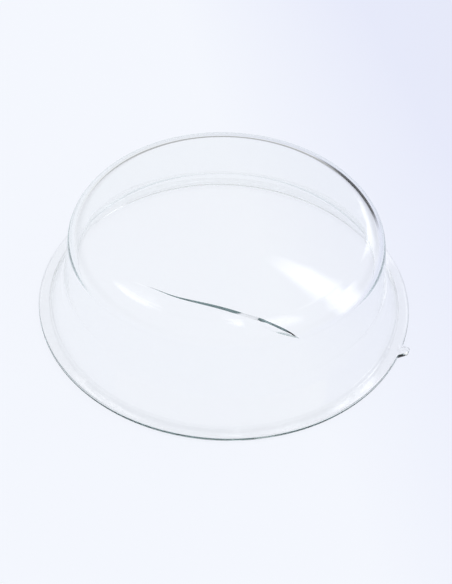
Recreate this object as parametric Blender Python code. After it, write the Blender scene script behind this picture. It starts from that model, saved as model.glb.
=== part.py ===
"""Door glass of a front-loading washing machine, lying flange down: one bowl of clear pressed glass.

Metres, +Z up. The origin is on the bowl's axis, in the plane of the flange's underside. The lap mark on
the crown's underside lies towards -Y and the rim's lug towards +X.
"""

import math

import bmesh
import bpy
from mathutils import Vector

# Flange and lug.
RIM_RADIUS = 0.170
FLANGE_WIDTH = 0.0095
FLANGE_THICKNESS = 0.005
RIM_ROUNDING = 0.0024
LUG_REACH = 0.007
LUG_TIP_WIDTH = 0.0075
LUG_FLANK_SLANT = math.radians(45)
LUG_TURN = math.radians(-1.7)
LUG_ROOT = 0.004
LUG_SETBACK = 0.0004

# Bowl. The flare height is where the lines of wall and flare would meet without the waist's rounding.
BOWL_HEIGHT = 0.093
GLASS_THICKNESS = 0.005
CROWN_ROUNDING = 0.020
WALL_DRAFT = math.radians(8)
FLARE_HEIGHT = 0.032
FLARE_REACH = 0.0149
WAIST_ROUNDING = 0.034

# Lap mark: a crease pressed into the underside. It starts straight, bends back and ends on the rounding.
LAP_INSET = 0.017
LAP_START = -0.046
LAP_BEND_START = 0.062
LAP_BEND = 0.100
LAP_END_TURN = math.radians(74)
LAP_GROWTH = 0.080
LAP_TAPER = 0.008
LAP_DEPTH = 0.0014
LAP_BACK_WIDTH = 0.0043
LAP_FRONT_WIDTH = 0.0022
LAP_RELIEF = 0.001
LAP_END_SHARE = 0.1

# Fineness of the round faces and of the crease.
SPOKES = 72
LAP_STATIONS = 28

# Places that follow from the sizes above, from the rim inwards.
FOOT_RADIUS = RIM_RADIUS - FLANGE_WIDTH
WALL_RADIUS = FOOT_RADIUS - FLARE_REACH
FLARE_SLANT = math.atan2(FLARE_REACH, FLARE_HEIGHT - FLANGE_THICKNESS)
CROWN_CENTRE_HEIGHT = BOWL_HEIGHT - CROWN_ROUNDING
CROWN_CENTRE_RADIUS = (
    WALL_RADIUS
    - (CROWN_CENTRE_HEIGHT - FLARE_HEIGHT) * math.tan(WALL_DRAFT)
    - CROWN_ROUNDING / math.cos(WALL_DRAFT)
)
UNDERSIDE_ROUNDING = CROWN_ROUNDING - GLASS_THICKNESS
LAP_DISTANCE = CROWN_CENTRE_RADIUS - LAP_INSET


def arc(centre, radius, start, end, count):
    """Points of an arc as (distance from the axis, height), angles from outwards to upwards."""
    points = []
    for step in range(count):
        angle = start + (end - start) * step / (count - 1)
        points.append((centre[0] + radius * math.cos(angle), centre[1] + radius * math.sin(angle)))
    return points


def crown_arc(inset, count):
    """The crown's rounding, from the flat top to the wall, that far inside the outer face."""
    centre = (CROWN_CENTRE_RADIUS, CROWN_CENTRE_HEIGHT)
    return arc(centre, CROWN_ROUNDING - inset, math.pi / 2, WALL_DRAFT, count)


def waist_arc(inset, count):
    """The hollow rounding between wall and flare, whose centre lies outside the bowl."""
    half_turn = (FLARE_SLANT - WALL_DRAFT) / 2
    middle = (FLARE_SLANT + WALL_DRAFT) / 2
    away = WAIST_ROUNDING / math.cos(half_turn)
    centre = (WALL_RADIUS + away * math.cos(middle), FLARE_HEIGHT + away * math.sin(middle))
    return arc(centre, WAIST_ROUNDING + inset, math.pi + WALL_DRAFT, math.pi + FLARE_SLANT, count)


def foot_radius(inset, height):
    """How far from the axis the flare's face, that far inside the outer one, comes down to a height."""
    fall = FLANGE_THICKNESS - inset * math.sin(FLARE_SLANT) - height
    return FOOT_RADIUS - inset * math.cos(FLARE_SLANT) + fall * math.tan(FLARE_SLANT)


def outer_line():
    """From the crown's edge down the outside to the flange."""
    return crown_arc(0.0, 8) + waist_arc(0.0, 6) + [(FOOT_RADIUS, FLANGE_THICKNESS)]


def rim_line():
    """Round the rim, from the flange's top to its underside."""
    radius = RIM_RADIUS - RIM_ROUNDING
    top = arc((radius, FLANGE_THICKNESS - RIM_ROUNDING), RIM_ROUNDING, math.pi / 2, 0, 4)
    return top + arc((radius, RIM_ROUNDING), RIM_ROUNDING, 0, -math.pi / 2, 4)


def inner_line():
    """From the crown's underside down the inside to the flange's underside."""
    foot = (foot_radius(GLASS_THICKNESS, 0.0), 0.0)
    return crown_arc(GLASS_THICKNESS, 9) + waist_arc(GLASS_THICKNESS, 6) + [foot]


def ease(value):
    value = min(max(value, 0.0), 1.0)
    return value * value * (3 - 2 * value)


def underside(plan):
    """The point of the bowl's inside over a plan position, with the direction into the glass."""
    out = max(plan.length - CROWN_CENTRE_RADIUS, 0.0) / UNDERSIDE_ROUNDING
    turned = min(out, math.cos(WALL_DRAFT))
    up = math.sqrt(1 - turned * turned)
    down_wall = (out - turned) / math.tan(WALL_DRAFT)
    height = CROWN_CENTRE_HEIGHT + UNDERSIDE_ROUNDING * (up - down_wall)
    return Vector((plan.x, plan.y, height)), (plan.normalized() * turned).to_3d() + Vector((0, 0, up))


def lap_course(distance):
    """Plan position on the crease's deepest line and the way to its front, at a distance from its start."""
    bent = max(distance - (LAP_BEND_START - LAP_START), 0.0)
    turn = bent / LAP_BEND
    along = min(LAP_START + distance, LAP_BEND_START)
    hub = Vector((along, LAP_BEND - LAP_DISTANCE))
    front = Vector((math.sin(turn), -math.cos(turn)))
    return hub + front * LAP_BEND, front


def lap_length():
    """Length of the crease in plan, to where the underside's rounding has turned as far as its end does."""
    limit = CROWN_CENTRE_RADIUS + UNDERSIDE_ROUNDING * math.sin(LAP_END_TURN)
    low, high = -LAP_START, LAP_BEND_START - LAP_START + LAP_BEND * math.pi / 2
    while high - low > 1e-6:
        middle = (low + high) / 2
        if lap_course(middle)[0].length < limit:
            low = middle
        else:
            high = middle
    return low


def glass_material():
    material = bpy.data.materials.new("clear_glass")
    material.use_nodes = True
    shader = material.node_tree.nodes["Principled BSDF"]
    shader.inputs["Base Color"].default_value = (0.93, 0.97, 0.96, 1.0)
    shader.inputs["Roughness"].default_value = 0.02
    shader.inputs["Metallic"].default_value = 0.0
    shader.inputs["IOR"].default_value = 1.52
    shader.inputs["Transmission Weight"].default_value = 1.0
    return material


def add_object(name, form):
    mesh = bpy.data.meshes.new(name)
    form.to_mesh(mesh)
    form.free()
    mesh.shade_smooth()
    mesh.set_sharp_from_angle(angle=math.radians(35))
    made = bpy.data.objects.new(name, mesh)
    bpy.context.scene.collection.objects.link(made)
    return made


def bowl_form():
    """Rings of the closed wall section, turned about the axis."""
    section = outer_line() + rim_line() + inner_line()[::-1]
    form = bmesh.new()
    spokes = []
    for index in range(SPOKES):
        angle = 2 * math.pi * index / SPOKES
        cos, sin = math.cos(angle), math.sin(angle)
        spokes.append([form.verts.new((r * cos, r * sin, z)) for r, z in section])
    top = form.verts.new((0, 0, BOWL_HEIGHT))
    below = form.verts.new((0, 0, BOWL_HEIGHT - GLASS_THICKNESS))
    for spoke, following in zip(spokes, spokes[1:] + spokes[:1]):
        form.faces.new((top, spoke[0], following[0]))
        for k in range(len(spoke) - 1):
            form.faces.new((spoke[k], spoke[k + 1], following[k + 1], following[k]))
        form.faces.new((below, following[-1], spoke[-1]))
    return form


def lug_form():
    """A tab set back a little from the flange's two faces, with its slanted flank towards -Y."""
    inner = RIM_RADIUS - LUG_ROOT
    outer = RIM_RADIUS + LUG_REACH
    half = LUG_TIP_WIDTH / 2
    slant = (outer - inner) * math.tan(LUG_FLANK_SLANT)
    plan = [(inner, -half - slant), (outer, -half), (outer, half), (inner, half)]
    cos, sin = math.cos(LUG_TURN), math.sin(LUG_TURN)
    form = bmesh.new()
    base = [form.verts.new((x * cos - y * sin, x * sin + y * cos, LUG_SETBACK)) for x, y in plan]
    face = form.faces.new(base[::-1])
    raised = bmesh.ops.extrude_face_region(form, geom=[face])["geom"]
    verts = [part for part in raised if isinstance(part, bmesh.types.BMVert)]
    bmesh.ops.translate(form, verts=verts, vec=(0, 0, FLANGE_THICKNESS - 2 * LUG_SETBACK))
    bmesh.ops.recalc_face_normals(form, faces=form.faces)
    return form


def lap_form():
    """A three-sided bar along the crease, with its top edge in the glass and its base below the underside."""
    length = lap_length()
    spread = 1 + LAP_RELIEF / LAP_DEPTH
    form = bmesh.new()
    bars = []
    for station in range(LAP_STATIONS):
        distance = length * station / (LAP_STATIONS - 1)
        size = ease(distance / LAP_GROWTH) * ease((length - distance) / LAP_TAPER)
        plan, front = lap_course(distance)
        point, into = underside(plan)
        bar = [point + into * (LAP_DEPTH * size - LAP_RELIEF * (1 - size) / 4)]
        for width in (-LAP_BACK_WIDTH, LAP_FRONT_WIDTH):
            edge, into = underside(plan + front * width * spread * max(size, LAP_END_SHARE))
            bar.append(edge - into * LAP_RELIEF)
        bars.append([form.verts.new(corner) for corner in bar])
    for bar, following in zip(bars, bars[1:]):
        for k in range(3):
            form.faces.new((bar[k], bar[k - 1], following[k - 1], following[k]))
    form.faces.new(bars[0])
    form.faces.new(bars[-1][::-1])
    bmesh.ops.recalc_face_normals(form, faces=form.faces)
    return form


def add_guide(bowl, name, form, operation):
    """A hidden form that is joined to the bowl or cut out of it."""
    guide = add_object(name + "_guide", form)
    guide.hide_render = True
    guide.display_type = "WIRE"
    change = bowl.modifiers.new(name, "BOOLEAN")
    change.operation = operation
    change.solver = "EXACT"
    change.object = guide


def main():
    for old in list(bpy.data.objects):
        bpy.data.objects.remove(old)
    bowl = add_object("glass_bowl", bowl_form())
    bowl.data.materials.append(glass_material())
    add_guide(bowl, "lug", lug_form(), "UNION")
    add_guide(bowl, "lap", lap_form(), "DIFFERENCE")


main()
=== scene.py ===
import math
import bpy
from mathutils import Matrix, Vector


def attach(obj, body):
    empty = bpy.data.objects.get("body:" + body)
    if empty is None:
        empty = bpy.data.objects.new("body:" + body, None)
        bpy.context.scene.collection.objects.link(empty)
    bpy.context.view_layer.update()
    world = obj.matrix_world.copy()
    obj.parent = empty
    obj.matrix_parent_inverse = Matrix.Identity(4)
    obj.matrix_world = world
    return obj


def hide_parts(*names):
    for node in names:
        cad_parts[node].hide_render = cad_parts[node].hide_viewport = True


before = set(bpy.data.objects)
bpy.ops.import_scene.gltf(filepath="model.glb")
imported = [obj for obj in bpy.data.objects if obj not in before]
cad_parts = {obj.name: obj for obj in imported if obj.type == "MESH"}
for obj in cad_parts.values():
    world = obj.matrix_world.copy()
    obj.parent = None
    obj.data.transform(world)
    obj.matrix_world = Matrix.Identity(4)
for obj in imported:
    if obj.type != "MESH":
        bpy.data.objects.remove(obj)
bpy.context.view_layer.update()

scene = bpy.context.scene
scene.view_settings.view_transform = "Standard"


def ease(value):
    # soft step from 0 to 1
    value = min(max(value, 0.0), 1.0)
    return value * value * (3 - 2 * value)


def cross(a, b):
    return a.x * b.y - a.y * b.x


def meet(pointA, alongA, pointB, alongB):
    # where two lines cross
    return pointA + alongA * (cross(pointB - pointA, alongB) / cross(alongA, alongB))


# bowl, sizes in metres as in the CAD model; the foot's and the seat's small roundings are only here
bowl = {
    "rim": 0.170,
    "flangeWidth": 0.0095,
    "flangeThick": 0.005,
    "rimRound": 0.0024,
    "height": 0.093,
    "glass": 0.005,
    "crownRound": 0.020,
    "draft": math.radians(8),
    "flareHeight": 0.032,
    "flareReach": 0.0149,
    "waistRound": 0.034,
    "footRound": 0.0005,
    "seatRound": 0.0004,
}
bowl["foot"] = bowl["rim"] - bowl["flangeWidth"]
bowl["wall"] = bowl["foot"] - bowl["flareReach"]
bowl["flatEnd"] = bowl["rim"] - bowl["rimRound"] * 2

# how finely the bowl's mesh is cut: spacing of its rings, steps in each rounding, turn from spoke to spoke
fineness = {
    "firstRing": 0.01,
    "outerSteps": (0.01, 0.006, 0.004, 0.003),
    "outerArcs": (48, 24, 10),
    "innerSteps": (0.0003, 0.002, 0.003, 0.003),
    "innerArcs": (64, 24, 8),
    "flatRings": 8,
    "rimArc": 9,
    "coarseTurn": math.radians(0.5),
    "fineTurn": math.radians(0.2),
    "sharpFrom": math.radians(40),
}


def bentLine(corners, rounds, steps, arcSteps):
    # a line with rounded corners, as (point, left-hand normal); straight runs are cut to the given steps
    runs, start = [], corners[0]
    for i, corner in enumerate(corners[1:], 1):
        along = (corner - corners[i - 1]).normalized()
        if i == len(corners) - 1:
            runs.append((start, corner, along, steps[i - 1], None))
            break
        after = (corners[i + 1] - corner).normalized()
        turn = math.atan2(cross(along, after), along.dot(after))
        reach = rounds[i - 1] * math.tan(abs(turn) / 2)
        rounding = turn, rounds[i - 1], arcSteps[i - 1]
        runs.append((start, corner - along * reach, along, steps[i - 1], rounding))
        start = corner + after * reach
    line = []
    for start, end, along, step, rounding in runs:
        left = Vector((-along.y, along.x))
        count = max(1, round((end - start).length / step))
        line += [(start.lerp(end, k / count), left) for k in range(count)]
        if rounding is None:
            line.append((end, left))
            continue
        turn, radius, arcs = rounding
        side = 1 if turn > 0 else -1
        hub = end + left * radius * side
        for k in range(arcs):
            normal = Matrix.Rotation(turn * k / arcs, 2) @ left
            line.append((hub - normal * radius * side, normal))
    return line


def wallLines(inset):
    # where crown and wall, wall and flare, and flare and flange meet, that far inside the outer face
    wallDown = Vector((math.sin(bowl["draft"]), -math.cos(bowl["draft"])))
    waist = Vector((bowl["wall"], bowl["flareHeight"]))
    foot = Vector((bowl["foot"], bowl["flangeThick"]))
    flareDown = (foot - waist).normalized()
    wallAt = waist + Vector((wallDown.y, -wallDown.x)) * inset
    flareAt = waist + Vector((flareDown.y, -flareDown.x)) * inset
    level = Vector((1, 0))
    shoulder = meet(Vector((0, bowl["height"] - inset)), level, wallAt, wallDown)
    bend = meet(wallAt, wallDown, flareAt, flareDown)
    ground = Vector((0, bowl["flangeThick"] if inset == 0 else 0))
    return shoulder, bend, meet(ground, level, flareAt, flareDown)


def outerLine():
    # from the crown's centre to the flange's top
    shoulder, bend, foot = wallLines(0)
    start = Vector((fineness["firstRing"], bowl["height"]))
    end = Vector((bowl["flatEnd"], bowl["flangeThick"]))
    rounds = bowl["crownRound"], bowl["waistRound"], bowl["footRound"]
    corners = [start, shoulder, bend, foot, end]
    return bentLine(corners, rounds, fineness["outerSteps"], fineness["outerArcs"])


def innerLine():
    # from the flange's underside up the inside to the crown's centre; the rings are fine near the lap mark
    thick = bowl["glass"]
    shoulder, bend, seat = wallLines(thick)
    centre = Vector((fineness["firstRing"], bowl["height"] - thick))
    start = Vector((lapMark["near"], bowl["height"] - thick))
    end = Vector((bowl["flatEnd"], 0))
    rounds = bowl["crownRound"] - thick, bowl["waistRound"] + thick, bowl["seatRound"]
    corners = [start, shoulder, bend, seat, end]
    line = bentLine(corners, rounds, fineness["innerSteps"], fineness["innerArcs"])
    rings = fineness["flatRings"]
    flat = [(centre.lerp(start, k / rings), Vector((0, 1))) for k in range(rings)]
    return (flat + line)[::-1]


# lap mark: a crease that the press left on the underside. It grows from the left, is weak where it nears
# the crown's rounding and runs out down that rounding. Lead, widths and depth are pairs: for the flat
# crown, where the front flank is the steeper one, and for the rounding, where the back flank is
lapMark = {
    "course": (
        (-0.054, -0.0982),
        (-0.027, -0.1006),
        (-0.006, -0.1026),
        (0.030, -0.1006),
        (0.062, -0.1004),
        (0.080, -0.0992),
        (0.0925, -0.0957),
        (0.100, -0.0910),
    ),
    "growth": 0.100,
    "change": (0.063, 0.073),
    "lead": (0.0021, 0.0012),
    "backWidth": (0.0043, 0.0024),
    "frontWidth": (0.0022, 0.0042),
    "depth": (0.00128, 0.0026),
    "weak": (0.045, 0.072),
    "weakLoss": 0.36,
    "weakEase": 0.007,
    "bend": 0.2,
    "endZ": 0.074,
    "taper": 0.012,
    "leastLevel": 0.02,  # limits the stretch on upright glass
    "sector": (math.radians(-118), math.radians(-40)),  # where the spokes are fine
    "near": 0.094,  # where the rings start to be fine
}


def courseAt(x):
    # the lap mark's place and slope in plan, on a smooth curve through its stations
    marks = [Vector(m) for m in lapMark["course"]]
    slopes = [(b.y - a.y) / (b.x - a.x) for a, b in zip(marks[:1] + marks[:-1], marks[1:] + marks[-1:])]
    k = max(i for i, m in enumerate(marks[:-1]) if m.x <= x or i == 0)
    a, b = marks[k], marks[k + 1]
    span, step = b.x - a.x, b.y - a.y
    t = min(max((x - a.x) / span, 0), 1)
    rise, fall = slopes[k] * span, slopes[k + 1] * span
    y = a.y + rise * t + (3 * step - 2 * rise - fall) * t**2 + (rise + fall - 2 * step) * t**3
    return y, slopes[k] + (slopes[k + 1] - slopes[k]) * t


def lapDepth(x, y, z, out):
    # how deep the mark is at a point whose face looks that far outwards, measured along the glass
    startX, endX = lapMark["course"][0][0], lapMark["course"][-1][0]
    if not startX < x < endX or y > 0:
        return 0.0
    course, slope = courseAt(x)
    forward = Vector((slope, -1)).normalized()
    across = forward.dot(Vector((x, y)).normalized())
    past = (y - course) * forward.y / math.sqrt(max(1 - (out * across) ** 2, lapMark["leastLevel"]))
    grown = ease((x - startX) / lapMark["growth"]) * ease((z - lapMark["endZ"]) / lapMark["taper"])
    first, last = lapMark["change"]
    share = ease((x - first) / (last - first))
    lead, back, front, depth = (
        grown * (a + (b - a) * share)
        for a, b in (lapMark[k] for k in ("lead", "backWidth", "frontWidth", "depth"))
    )
    past -= lead
    width = front if past > 0 else back
    if abs(past) >= width:
        return 0.0
    away = abs(past) / width
    weakFrom, weakTo = lapMark["weak"]
    weak = ease((x - weakFrom) / lapMark["weakEase"]) * ease((weakTo - x) / lapMark["weakEase"])
    return depth * (1 - away) * (1 + lapMark["bend"] * away) * (1 - lapMark["weakLoss"] * weak)


# lug on the rim: one slanted flank, one straight
lug = {
    "reach": 0.007,
    "tipWidth": 0.0075,
    "slant": math.radians(45),
    "turn": math.radians(-1.7),
    "tipRound": 0.0022,
    "slantRootRound": 0.0032,
    "rootRound": 0.0016,
    "tipPoints": 10,
    "rootPoints": 8,
}


def roundCorner(corner, before, after, radius, count):
    # points and outward normals of a rounded corner between two travel directions
    turn = math.atan2(cross(before, after), before.dot(after))
    reach = radius * math.tan(abs(turn) / 2)
    side = 1 if turn > 0 else -1
    left = Vector((-before.y, before.x))
    centre = corner - before * reach + left * radius * side
    points = []
    for step in range(count):
        spoke = Matrix.Rotation(turn * step / (count - 1), 2) @ (-left * side)
        points.append((centre + spoke * radius, spoke * side))
    return points


def lugOutline():
    # the lug's plan outline as (point, outward normal), anticlockwise
    rim, half = bowl["rim"], lug["tipWidth"] / 2
    outer = rim + lug["reach"]
    startY = -half - lug["reach"] * math.tan(lug["slant"])
    start = Vector((math.sqrt(rim**2 - startY**2), startY))
    tipA, tipB = Vector((outer, -half)), Vector((outer, half))
    end = Vector((math.sqrt(rim**2 - half**2), half))
    along = [Vector((-p.y, p.x)).normalized() for p in (start, end)]
    flankA, flankB = (tipA - start).normalized(), (end - tipB).normalized()
    up = Vector((0, 1))
    points = roundCorner(start, along[0], flankA, lug["slantRootRound"], lug["rootPoints"])
    points += roundCorner(tipA, flankA, up, lug["tipRound"], lug["tipPoints"])
    points += roundCorner(tipB, up, flankB, lug["tipRound"], lug["tipPoints"])
    points += roundCorner(end, flankB, along[1], lug["rootRound"], lug["rootPoints"])
    turned = Matrix.Rotation(lug["turn"], 2)
    return [(turned @ p, turned @ n) for p, n in points]


def rimOutline():
    # the flange's plan outline with the lug, as (inner angle, point, outward normal), anticlockwise
    lugPoints = lugOutline()
    first, last = (math.atan2(lugPoints[k][0].y, lugPoints[k][0].x) for k in (0, -1))
    outline = []
    for i, (p, n) in enumerate(lugPoints):
        outline.append((first + (last - first) * i / (len(lugPoints) - 1), p, n))
    fullTurn = 2 * math.pi
    low, high = (a % fullTurn for a in lapMark["sector"])
    angle = last
    while True:
        angle += fineness["fineTurn"] if low <= angle % fullTurn <= high else fineness["coarseTurn"]
        if angle > first + fullTurn - fineness["fineTurn"]:
            return outline
        ray = Vector((math.cos(angle), math.sin(angle)))
        outline.append((angle, ray * bowl["rim"], ray))


def rimSection():
    # round the rim, as (setback from the outline, height)
    r, thick, arcs = bowl["rimRound"], bowl["flangeThick"], fineness["rimArc"]
    section = []
    for middle, start in ((thick - r, math.pi / 2), (r, 0)):
        for step in range(arcs + 1):
            angle = start - math.pi / 2 * step / arcs
            section.append((r * math.cos(angle) - r, middle + r * math.sin(angle)))
    return section


def makeBowl():
    # spokes of the wall's section, each down the outside, round the rim and up the inside
    outer, inner, section = outerLine(), innerLine(), rimSection()
    verts, faces, spokes = [], [], []
    for angle, point, normal in rimOutline():
        cos, sin = math.cos(angle), math.sin(angle)
        first = len(verts)
        verts += [(p.x * cos, p.x * sin, p.y) for p, _ in outer]
        verts += [(point.x + normal.x * s, point.y + normal.y * s, z) for s, z in section]
        for p, face in inner:
            p = p + face * lapDepth(p.x * cos, p.x * sin, p.y, face.x)
            verts.append((p.x * cos, p.x * sin, p.y))
        spokes.append(range(first, len(verts)))
    top, under = len(verts), len(verts) + 1
    verts += [(0, 0, bowl["height"]), (0, 0, bowl["height"] - bowl["glass"])]
    for here, there in zip(spokes, spokes[1:] + spokes[:1]):
        faces.append((top, here[0], there[0]))
        faces += [(here[k], here[k + 1], there[k + 1], there[k]) for k in range(len(here) - 1)]
        faces.append((under, there[-1], here[-1]))
    mesh = bpy.data.meshes.new("glassBowl")
    mesh.from_pydata(verts, [], faces)
    mesh.update()
    mesh.shade_smooth()
    mesh.set_sharp_from_angle(angle=fineness["sharpFrom"])
    piece = bpy.data.objects.new("glassBowl", mesh)
    scene.collection.objects.link(piece)
    print("bowl", len(verts), "points,", len(faces), "faces")
    return piece


# clear pressed glass, fire polished, with the faint green of its iron
glass = {
    "surface": (1, 1, 1, 1),
    "roughness": 0.0,
    "ior": 1.52,
    "tint": (0.55, 0.655, 0.66, 1),
    "density": 10.0,
}


def glassMaterial():
    material = bpy.data.materials.new("clearGlass")
    material.use_nodes = True
    nodes, links = material.node_tree.nodes, material.node_tree.links
    shader = nodes["Principled BSDF"]
    shader.inputs["Base Color"].default_value = glass["surface"]
    shader.inputs["Roughness"].default_value = glass["roughness"]
    shader.inputs["IOR"].default_value = glass["ior"]
    shader.inputs["Transmission Weight"].default_value = 1.0
    absorb = nodes.new("ShaderNodeVolumeAbsorption")
    absorb.inputs["Color"].default_value = glass["tint"]
    absorb.inputs["Density"].default_value = glass["density"]
    links.new(absorb.outputs["Volume"], nodes["Material Output"].inputs["Volume"])
    return material


glassBowl = makeBowl()
glassBowl.data.materials.append(glassMaterial())
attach(glassBowl, "root")
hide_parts("glass_bowl")

# camera fitted to the flange's outline; the aim is in the picture's own axes
shot = {
    "turn": math.radians(19.07),
    "rise": math.radians(44.66),
    "roll": math.radians(2.52),
    "distance": 1.0,
    "focalPixels": 1122.0,
    "frameHeight": 584,
    "sensor": 24,
    "aim": (0.0013, -0.0260, 0.0305),
}
pictureTurn = Matrix.Rotation(shot["turn"], 3, "Z")


def inPicture(point):
    # a point or direction given with x to the picture's right and y away from the camera
    return pictureTurn @ Vector(point)


def placeCamera():
    back = Vector((0, -math.cos(shot["rise"]), math.sin(shot["rise"])))
    right = Vector((1, 0, 0))
    up = right.cross(-back)
    cos, sin = math.cos(shot["roll"]), math.sin(shot["roll"])
    axes = [inPicture(v) for v in (right * cos + up * sin, up * cos - right * sin, back)]
    data = bpy.data.cameras.new("shotCamera")
    data.sensor_fit = "VERTICAL"
    data.sensor_height = shot["sensor"]
    data.lens = shot["focalPixels"] / shot["frameHeight"] * data.sensor_height
    camera = bpy.data.objects.new("shotCamera", data)
    scene.collection.objects.link(camera)
    place = Matrix(axes).transposed().to_4x4()
    place.translation = inPicture(Vector(shot["aim"]) + back * shot["distance"])
    camera.matrix_world = place
    scene.camera = camera


placeCamera()
print("camera placed")

# studio: a pale table that greys towards the right, which is painted shade, and shows more of its real
# shadow under the flange in a painted ring, in a white tent with a darker band low down, darkest behind
studio = {
    "tableNear": (0.905, 0.930, 0.990, 1),
    # painted shade: the table's colour turns to this grey towards the right of the picture, between these
    # distances
    "tableShadedSide": (0.800, 0.826, 0.960, 1),
    "paintedShadeAlong": (1, 0.25, 0),
    "paintedShadeFrom": 0.05,
    "paintedShadeTo": 0.29,
    "tableShow": 0.97,
    # in a ring under the flange less glow shows, so more of the table's real shadow shows there: the ring is
    # painted shade, the shadow inside it is rendered
    "shadeShow": 0.88,
    "shadeRing": (0.150, 0.158, 0.1705, 0.173),
    "tableSize": 14.0,
    "tableDrop": 0.0002,
    "lowToward": (0, -1, 0),
    "lowLevels": (0.40, 0.95),
    "highLevel": 1.0,
    "bandRises": (0.02, 0.15, 0.32, 0.62),
    "bandHigh": (1, 0, 0, 1),
    "tentColor": (0.97, 0.98, 1.0, 1),
    "bounces": 48,  # light goes on far inside the glass
}


def reachAlong(nodes, links, source, toward):
    # how far a position or direction reaches along a picture direction
    dot = nodes.new("ShaderNodeVectorMath")
    dot.operation = "DOT_PRODUCT"
    dot.inputs[1].default_value = inPicture(toward)
    links.new(source, dot.inputs[0])
    return dot.outputs["Value"]


def rampStops(ramp, places, levels):
    stops = ramp.color_ramp.elements
    while len(stops) < len(places):
        stops.new(0.5)
    for stop, place, level in zip(stops, places, levels):
        stop.position = place
        stop.color = (level, level, level, 1)


def mixShaders(nodes, links, share, first, second):
    # the first shader where the share is 0, the second where it is 1
    mix = nodes.new("ShaderNodeMixShader")
    for source, entry in zip((share, first.outputs[0], second.outputs[0]), mix.inputs):
        links.new(source, entry)
    links.new(mix.outputs[0], nodes["Material Output"].inputs["Surface"])


def tableMaterial():
    material = bpy.data.materials.new("paleTable")
    material.use_nodes = True
    nodes, links = material.node_tree.nodes, material.node_tree.links
    nodes.remove(nodes["Principled BSDF"])
    place = nodes.new("ShaderNodeTexCoord").outputs["Object"]
    # painted shade: the table's colour greys towards the right of the picture
    paintedShade = nodes.new("ShaderNodeMapRange")
    paintedShade.inputs["From Min"].default_value = studio["paintedShadeFrom"]
    paintedShade.inputs["From Max"].default_value = studio["paintedShadeTo"]
    links.new(reachAlong(nodes, links, place, studio["paintedShadeAlong"]), paintedShade.inputs["Value"])
    color = nodes.new("ShaderNodeValToRGB")
    color.color_ramp.elements[0].color = studio["tableNear"]
    color.color_ramp.elements[1].color = studio["tableShadedSide"]
    links.new(paintedShade.outputs["Result"], color.inputs[0])
    matt = nodes.new("ShaderNodeBsdfDiffuse")
    glow = nodes.new("ShaderNodeEmission")
    for shader in (matt, glow):
        links.new(color.outputs["Color"], shader.inputs["Color"])
    path = nodes.new("ShaderNodeLightPath")
    seen = path.outputs["Is Camera Ray"]
    for ray in ("Is Glossy Ray", "Is Transmission Ray"):
        either = nodes.new("ShaderNodeMath")
        either.operation = "MAXIMUM"
        links.new(seen, either.inputs[0])
        links.new(path.outputs[ray], either.inputs[1])
        seen = either.outputs[0]
    away = nodes.new("ShaderNodeVectorMath")
    away.operation = "LENGTH"
    links.new(place, away.inputs[0])
    # painted shade ring under the flange: less glow, so the real diffuse shadow shows more there
    show = nodes.new("ShaderNodeValToRGB")
    plain, shade = studio["tableShow"], studio["shadeShow"]
    rampStops(show, studio["shadeRing"], (plain, shade, shade, plain))
    links.new(away.outputs["Value"], show.inputs[0])
    share = nodes.new("ShaderNodeMath")
    share.operation = "MULTIPLY"
    links.new(seen, share.inputs[0])
    links.new(show.outputs["Color"], share.inputs[1])
    mixShaders(nodes, links, share.outputs[0], matt, glow)
    return material


def tableTop():
    half, z = studio["tableSize"] / 2, -studio["tableDrop"]
    mesh = bpy.data.meshes.new("tableTop")
    corners = [(x * half, y * half, z) for x, y in ((-1, -1), (1, -1), (1, 1), (-1, 1))]
    mesh.from_pydata(corners, [], [(0, 1, 2, 3)])
    mesh.materials.append(tableMaterial())
    table = bpy.data.objects.new("tableTop", mesh)
    scene.collection.objects.link(table)


def lightTent():
    world = bpy.data.worlds.new("lightTent")
    scene.world = world
    world.use_nodes = True
    nodes, links = world.node_tree.nodes, world.node_tree.links
    sky = nodes["Background"]
    looking = nodes.new("ShaderNodeTexCoord").outputs["Generated"]
    low = nodes.new("ShaderNodeMapRange")
    low.inputs["From Min"].default_value = -1
    low.inputs["To Min"].default_value, low.inputs["To Max"].default_value = studio["lowLevels"]
    links.new(reachAlong(nodes, links, looking, studio["lowToward"]), low.inputs["Value"])
    rise = nodes.new("ShaderNodeValToRGB")
    rise.color_ramp.interpolation = "EASE"
    rampStops(rise, studio["bandRises"], studio["bandHigh"])
    links.new(reachAlong(nodes, links, looking, (0, 0, 1)), rise.inputs[0])
    level = nodes.new("ShaderNodeMix")
    level.inputs["B"].default_value = studio["highLevel"]
    links.new(rise.outputs["Color"], level.inputs["Factor"])
    links.new(low.outputs["Result"], level.inputs["A"])
    sky.inputs["Color"].default_value = studio["tentColor"]
    links.new(level.outputs["Result"], sky.inputs["Strength"])


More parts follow.
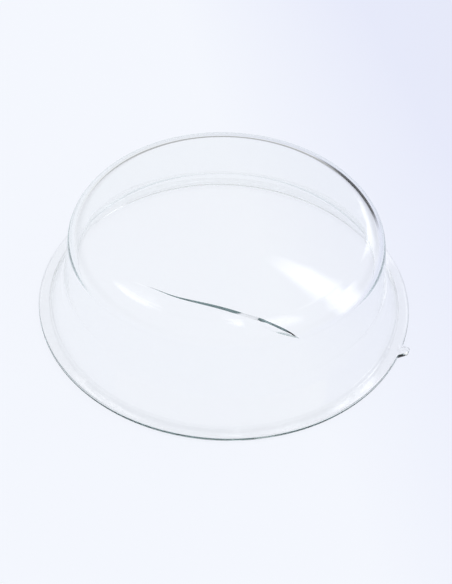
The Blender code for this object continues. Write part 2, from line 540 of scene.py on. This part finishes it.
# soft strips of light overhead, as stations (x, y, half width, glow) in the picture's axes
overhead = {
    "height": 1.3,
    "level": 2.6,
    "strips": {
        "leftStrip": (
            (-0.19, 1.13, 0.06, 0),
            (-0.23, 1.02, 0.10, 1),
            (-0.36, 0.76, 0.16, 1),
            (-0.45, 0.56, 0.16, 1),
            (-0.52, 0.34, 0.10, 0),
        ),
        "middleStrip": (
            (0.017, 1.06, 0.03, 0),
            (0.025, 0.92, 0.03, 1),
            (0.055, 0.50, 0.03, 1),
            (0.11, 0.03, 0.03, 0.5),
        ),
        "rightStrip": (
            (0.10, 1.27, 0.02, 0),
            (0.18, 1.205, 0.04, 1),
            (0.262, 1.13, 0.055, 1),
            (0.385, 0.91, 0.065, 1),
            (0.53, 0.71, 0.10, 1),
            (0.70, 0.52, 0.14, 1),
            (0.92, 0.37, 0.20, 1),
            (1.1, 0.30, 0.22, 0),
        ),
        "frontStrip": (
            (0.15, 0.78, 0.03, 0),
            (0.23, 0.45, 0.09, 0.6),
            (0.34, 0.16, 0.14, 0.6),
            (0.60, -0.25, 0.20, 0.6),
            (0.95, -0.80, 0.25, 0),
        ),
        "backStrip": (
            (0.34, 1.44, 0.02, 0.3),
            (0.45, 1.50, 0.05, 1),
            (0.58, 1.58, 0.09, 1),
            (0.85, 1.95, 0.13, 0.5),
        ),
    },
}

# upright strips to the right of the picture, as stations (y, z, half width, glow): a window, a slanted light
# and a dark card
window = {
    "x": 0.60,
    "level": 2.6,
    "stations": (
        (-0.11, -0.02, 0.12, 1),
        (-0.11, 0.20, 0.13, 1),
        (-0.06, 0.42, 0.15, 1),
        (0.06, 0.62, 0.17, 1),
        (0.20, 0.80, 0.17, 1),
        (0.30, 0.92, 0.16, 0),
    ),
}
slantLight = {
    "x": 0.60,
    "level": 2.6,
    "stations": (
        (0.16, 0.02, 0.05, 0),
        (0.33, 0.29, 0.07, 0.3),
        (0.58, 0.55, 0.10, 0.8),
        (0.80, 0.74, 0.15, 1),
        (1.20, 1.05, 0.28, 1),
        (1.55, 1.27, 0.32, 0.8),
        (1.85, 1.45, 0.32, 0),
    ),
}
darkCard = {
    "x": 0.30,
    "level": 0.02,
    "stations": (
        (0.20, 0.04, 0.08, 0),
        (0.29, 0.05, 0.15, 1),
        (0.45, 0.06, 0.22, 1),
        (0.62, 0.06, 0.22, 1),
        (0.85, 0.05, 0.14, 0.7),
        (1.1, 0.04, 0.10, 0),
    ),
}
stripEdges = ((-1, 0), (-0.45, 1), (0.45, 1), (1, 0))  # across a strip: share of its half width, glow


def glowMaterial(name, level):
    # clear where the mesh's glow is 0, and shines with the full level where it is 1
    material = bpy.data.materials.new(name)
    material.use_nodes = True
    nodes, links = material.node_tree.nodes, material.node_tree.links
    nodes.remove(nodes["Principled BSDF"])
    read = nodes.new("ShaderNodeAttribute")
    read.attribute_name = "glow"
    clear = nodes.new("ShaderNodeBsdfTransparent")
    shine = nodes.new("ShaderNodeEmission")
    shine.inputs["Strength"].default_value = level
    mixShaders(nodes, links, read.outputs["Fac"], clear, shine)
    return material


def lightStrip(name, stations, place, level):
    # a ribbon along the stations whose glow falls off to both edges
    points, glow = [], []
    for i, (a, b, half, share) in enumerate(stations):
        before, after = stations[max(i - 1, 0)], stations[min(i + 1, len(stations) - 1)]
        along = Vector((after[0] - before[0], after[1] - before[1])).normalized()
        for side, edge in stripEdges:
            points.append(inPicture(place(a - along.y * half * side, b + along.x * half * side)))
            glow.append(share * edge)
    row = len(stripEdges)
    faces = [(k, k + 1, k + row + 1, k + row) for k in range(len(points) - row) if k % row < row - 1]
    mesh = bpy.data.meshes.new(name)
    mesh.from_pydata(points, [], faces)
    mesh.attributes.new("glow", "FLOAT", "POINT").data.foreach_set("value", glow)
    mesh.materials.append(glowMaterial(name, level))
    sheet = bpy.data.objects.new(name, mesh)
    sheet.visible_camera = False
    sheet.visible_glossy = level > studio["highLevel"]  # nothing mirrors the dark card
    scene.collection.objects.link(sheet)


tableTop()
lightTent()
for name, stations in overhead["strips"].items():
    lightStrip(name, stations, lambda x, y: (x, y, overhead["height"]), overhead["level"])
for name, strip in (("window", window), ("slantLight", slantLight), ("darkCard", darkCard)):
    lightStrip(name, strip["stations"], lambda y, z: (strip["x"], y, z), strip["level"])
scene.cycles.max_bounces = studio["bounces"]
scene.cycles.transmission_bounces = studio["bounces"]
scene.cycles.glossy_bounces = studio["bounces"]
print("studio ready")
